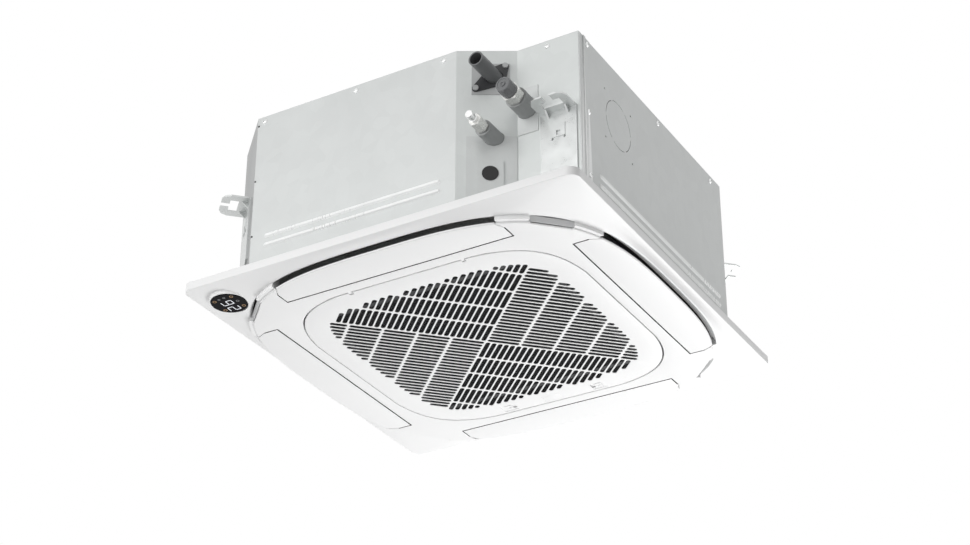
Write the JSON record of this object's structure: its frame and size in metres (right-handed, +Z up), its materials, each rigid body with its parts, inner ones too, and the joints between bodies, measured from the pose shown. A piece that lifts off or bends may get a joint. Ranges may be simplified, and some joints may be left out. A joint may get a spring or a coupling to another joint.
{
  "type": "ceiling cassette air conditioner",
  "caption": "Four-way ceiling cassette air conditioner with a sheet-metal casing, a square panel, air louvres, a hinged intake grille, and pipe and drain connections.",
  "frame": {"origin": "centre of the panel on the finished ceiling plane, where the rim's upper edge meets the ceiling", "axes": "+Z up into the ceiling void, -Y the side with the refrigerant pipes and the drain, +X the side with the fresh-air knock-out"},
  "size_m": [0.62, 0.637, 0.292],
  "materials": {
    "galvanised_sheet": "galvanised, satin",
    "corner_sheet": "galvanised, satin",
    "zinc": "zinc plated",
    "copper": "drawn copper",
    "flare_brass": "plated",
    "pipe_foam": "closed-cell foam",
    "black_foam": "closed-cell foam",
    "white_foam": "expanded foam with a sealed skin",
    "fins": "fin stock",
    "white_plastic": "moulded, satin gloss",
    "grey_plastic": "moulded",
    "dark_plastic": "moulded",
    "black_rubber": "moulded rubber",
    "motor_can": "painted",
    "filter_net": "woven net",
    "board": "laminate",
    "lens": "smoked, glossy",
    "float_orange": "moulded"
  },
  "bodies": {
    "housing": {"top_plate": "galvanised_sheet", "front_panel": "galvanised_sheet", "pipe_corner_panel": "galvanised_sheet", "right_panel": "galvanised_sheet", "rear_panel": "galvanised_sheet", "left_panel": "galvanised_sheet", "corner_plates": "corner_sheet", "hanger_brackets": "zinc", "casing_screws": "zinc", "knockout_disc": "galvanised_sheet", "pipe_cover_plate": "galvanised_sheet", "drain_cover_plate": "galvanised_sheet", "drain_flange": "dark_plastic", "drain_tube": "grey_plastic", "gas_pipe": "copper", "liquid_pipe": "copper", "pipe_sleeves": "pipe_foam", "flare_nuts": "flare_brass", "pipe_caps": "dark_plastic", "foam_liner": "black_foam", "drain_pan": "white_foam", "coil_fins": "fins", "coil_end_plates": "galvanised_sheet", "coil_bends": "copper", "coil_manifold": "copper", "fan_motor": "motor_can", "motor_mount": "black_rubber", "bell_mouth": "white_plastic", "control_box": "galvanised_sheet", "control_board": "board", "terminal_block": "white_plastic", "drain_pump": "white_plastic", "pump_hose": "black_rubber", "float_guide": "white_plastic", "duct_seal": "black_foam", "panel_frame": "white_plastic", "centre_platform": "white_plastic", "corner_vanes": "grey_plastic", "louvre_motors": "zinc", "hinge_pins": "zinc", "display_lens": "lens", "display_board": "board", "panel_screws": "zinc"},
    "fan": {"motor_shaft": "zinc", "turbo_fan": "grey_plastic", "fan_nut": "zinc"},
    "grille": {"intake_grille": "white_plastic", "filter_frame": "grey_plastic", "filter_mesh": "filter_net"},
    "latch_l": {"latch_left": "white_plastic"},
    "latch_r": {"latch_right": "white_plastic"},
    "flap_front": {"louvre_front": "white_plastic"},
    "flap_right": {"louvre_right": "white_plastic"},
    "flap_rear": {"louvre_rear": "white_plastic"},
    "flap_left": {"louvre_left": "white_plastic"},
    "float": {"float_ring": "float_orange"}
  },
  "joints": [
    {"name": "fan_spin", "type": "hinge", "parent": "housing", "child": "fan", "pos_m": [0, 0, 0.15], "axis": [0, 0, 1], "continuous": true},
    {"name": "grille_hinge", "type": "hinge", "parent": "housing", "child": "grille", "pos_m": [0, -0.2147, -0.0284], "axis": [-1, 0, 0], "range_deg": [0, 90]},
    {"name": "latch_left_slide", "type": "slide", "parent": "grille", "child": "latch_l", "axis": [1, 0, 0], "range_m": [0, 0.005]},
    {"name": "latch_right_slide", "type": "slide", "parent": "grille", "child": "latch_r", "axis": [-1, 0, 0], "range_m": [0, 0.005]},
    {"name": "louvre_front_hinge", "type": "hinge", "parent": "housing", "child": "flap_front", "pos_m": [0, -0.241, -0.0265], "axis": [1, 0, 0], "range_deg": [0, 45]},
    {"name": "louvre_right_hinge", "type": "hinge", "parent": "housing", "child": "flap_right", "pos_m": [0.241, 0, -0.0265], "axis": [0, 1, 0], "range_deg": [0, 45]},
    {"name": "louvre_rear_hinge", "type": "hinge", "parent": "housing", "child": "flap_rear", "pos_m": [0, 0.241, -0.0265], "axis": [-1, 0, 0], "range_deg": [0, 45]},
    {"name": "louvre_left_hinge", "type": "hinge", "parent": "housing", "child": "flap_left", "pos_m": [-0.241, 0, -0.0265], "axis": [0, -1, 0], "range_deg": [0, 45]},
    {"name": "float_slide", "type": "slide", "parent": "housing", "child": "float", "axis": [0, 0, 1], "range_m": [0, 0.008]}
  ]
}
